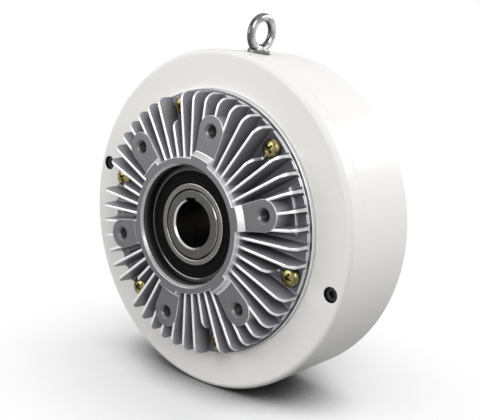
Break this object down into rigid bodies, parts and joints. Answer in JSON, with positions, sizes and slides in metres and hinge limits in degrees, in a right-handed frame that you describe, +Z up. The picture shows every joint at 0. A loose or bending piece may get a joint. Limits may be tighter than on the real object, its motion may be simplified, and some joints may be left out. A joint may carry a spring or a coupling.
{
  "type": "magnetic powder brake",
  "caption": "Hollow-shaft magnetic powder brake: round painted steel yokes with a sealed coil, finned aluminium end brackets, two ball bearings and a lifting eye.",
  "frame": {"origin": "on the shaft axis, in the plane of the six front mounting tabs", "axes": "-Y along the shaft axis out of the front face, +Z up as the brake stands on its rim, 8 degrees from the lifting eye, +X to the right seen from the front"},
  "size_m": [0.219, 0.1092, 0.2422],
  "materials": {
    "housing_paint": "gloss",
    "cast_aluminium": "cast, machined faces",
    "yellow_zinc": "yellow passivated zinc",
    "black_oxide": "blackened",
    "bright_plate": "bright plated",
    "ground_steel": "ground",
    "ball_steel": "polished",
    "cage_brass": "pressed",
    "seal_rubber": "matt",
    "felt": "pressed felt",
    "magnet_steel": "turned",
    "spring_steel": "phosphated",
    "stainless": "turned",
    "bobbin_plastic": "moulded",
    "copper_wire": "enamelled copper",
    "iron_powder": "loose powder"
  },
  "bodies": {
    "stator": {"front_yoke": "housing_paint", "rear_yoke": "housing_paint", "front_bracket": "cast_aluminium", "rear_bracket": "cast_aluminium", "front_bracket_screws": "yellow_zinc", "rear_bracket_screws": "yellow_zinc", "front_spring_washers": "yellow_zinc", "rear_spring_washers": "yellow_zinc", "yoke_clamp_screws": "black_oxide", "eyebolt": "bright_plate", "front_bearing_outer_ring": "ground_steel", "rear_bearing_outer_ring": "ground_steel", "front_bearing_seals": "seal_rubber", "rear_bearing_seals": "seal_rubber", "lead_grommet": "seal_rubber", "front_powder_seal": "felt", "rear_powder_seal": "felt", "isolating_ring": "stainless", "coil_bobbin": "bobbin_plastic", "coil_winding": "copper_wire", "magnetic_powder": "iron_powder"},
    "rotor": {"hollow_shaft": "ground_steel", "rotor_drum": "magnet_steel", "rotor_key": "spring_steel", "front_bearing_inner_ring": "ground_steel", "rear_bearing_inner_ring": "ground_steel", "front_slinger": "magnet_steel", "rear_slinger": "magnet_steel", "front_drum_circlip": "spring_steel", "rear_drum_circlip": "spring_steel"},
    "front_ball_set": {"front_bearing_balls": "ball_steel", "front_bearing_cage": "cage_brass"},
    "rear_ball_set": {"rear_bearing_balls": "ball_steel", "rear_bearing_cage": "cage_brass"}
  },
  "joints": [
    {"name": "shaft_spin", "type": "hinge", "parent": "stator", "child": "rotor", "pos_m": [0, 0.051, 0], "axis": [0, 1, 0], "continuous": true},
    {"name": "front_cage_spin", "type": "hinge", "parent": "stator", "child": "front_ball_set", "pos_m": [0, 0.0121, 0], "axis": [0, 1, 0], "continuous": true},
    {"name": "rear_cage_spin", "type": "hinge", "parent": "stator", "child": "rear_ball_set", "pos_m": [0, 0.0899, 0], "axis": [0, 1, 0], "continuous": true}
  ],
  "couplings": [
    {"joint": "front_cage_spin", "follows": "shaft_spin", "ratio": 0.42723},
    {"joint": "rear_cage_spin", "follows": "shaft_spin", "ratio": 0.42723}
  ]
}
